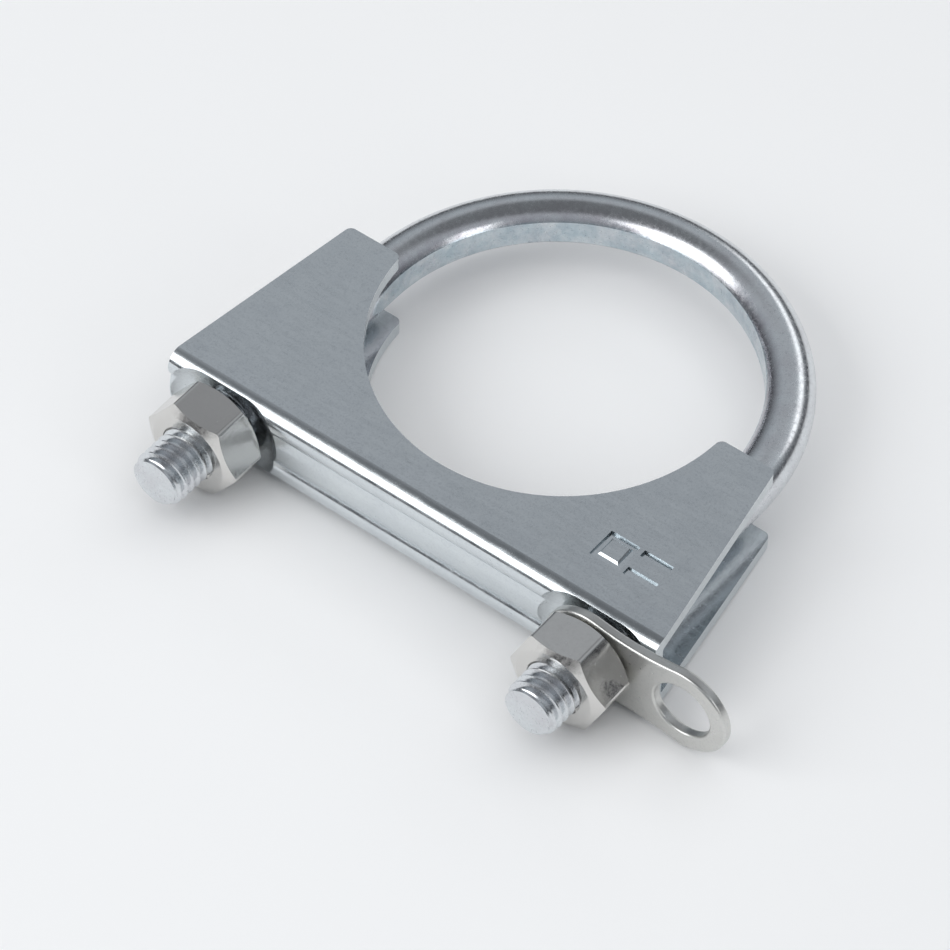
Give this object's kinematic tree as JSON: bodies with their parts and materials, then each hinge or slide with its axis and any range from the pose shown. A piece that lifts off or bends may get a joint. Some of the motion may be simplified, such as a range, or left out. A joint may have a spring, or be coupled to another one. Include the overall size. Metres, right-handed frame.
{
  "type": "pipe u-bolt clamp",
  "caption": "Zinc-plated U-bolt pipe clamp: threaded bow, pressed saddle, hex nuts and a swinging hanger tab, for clamping an exhaust pipe joint.",
  "frame": {"origin": "centre of the clamped pipe, which is the centre of the saddle's cradle, at mid height of the saddle", "axes": "+Z along the pipe, +Y from the nuts to the top of the bow, +X from the plain nut to the nut that holds the tab"},
  "size_m": [0.0906, 0.0796, 0.0146],
  "materials": {
    "rod_zinc": "bright zinc plated drawn rod",
    "saddle_zinc": "bright zinc plated pressed sheet",
    "nut_zinc": "bright zinc plated, cold formed",
    "tab_zinc": "tumbled zinc plated strap"
  },
  "bodies": {
    "u_bolt": {"u_bolt": "rod_zinc"},
    "saddle": {"saddle": "saddle_zinc"},
    "nut_left": {"nut_left": "nut_zinc"},
    "nut_right": {"nut_right": "nut_zinc"},
    "hanger_tab": {"hanger_tab": "tab_zinc"}
  },
  "joints": [
    {"name": "saddle_slide", "type": "slide", "parent": "u_bolt", "child": "saddle", "axis": [0, 1, 0], "range_m": [-0.0045, 0.0001]},
    {"name": "nut_left_turn", "type": "hinge", "parent": "saddle", "child": "nut_left", "pos_m": [-0.03015, -0.037, 0], "axis": [0, 1, 0], "continuous": true},
    {"name": "nut_right_turn", "type": "hinge", "parent": "saddle", "child": "nut_right", "pos_m": [0.03015, -0.038, 0], "axis": [0, 1, 0], "continuous": true},
    {"name": "tab_swing", "type": "hinge", "parent": "saddle", "child": "hanger_tab", "pos_m": [0.03015, -0.0341, 0], "axis": [0, 1, 0], "continuous": true}
  ],
  "couplings": [
    {"joint": "nut_left_turn", "follows": "saddle_slide", "rad_per_m": 5026.5},
    {"joint": "nut_right_turn", "follows": "saddle_slide", "rad_per_m": 5026.5}
  ]
}
